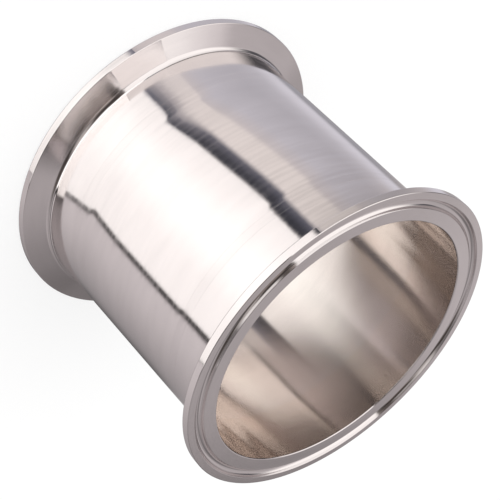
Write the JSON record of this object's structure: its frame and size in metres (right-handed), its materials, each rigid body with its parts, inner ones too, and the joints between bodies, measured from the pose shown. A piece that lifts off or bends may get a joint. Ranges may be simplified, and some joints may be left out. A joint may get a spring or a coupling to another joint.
{
  "type": "sanitary spool pipe",
  "caption": "Short polished stainless tube with a welded clamp ferrule at each end, joining two hygienic lines with gaskets and clamps.",
  "frame": {"origin": "centre of the lower sealing face", "axes": "+Z along the bore's axis, from the lower sealing face to the upper one; X and Y are free, as the part is turned"},
  "size_m": [0.119, 0.119, 0.1016],
  "materials": {
    "tube_steel": "stainless tube, polished outside to a soft mirror with fine marks round the tube, satin inside",
    "ferrule_steel": "stainless bar, turned and polished, with fine circular marks on the faces",
    "weld_steel": "fused stainless, ground and polished flush with the tube"
  },
  "bodies": {
    "root": {"tube": "tube_steel", "upper_ferrule": "ferrule_steel", "lower_ferrule": "ferrule_steel", "upper_weld": "weld_steel", "lower_weld": "weld_steel"}
  },
  "joints": []
}
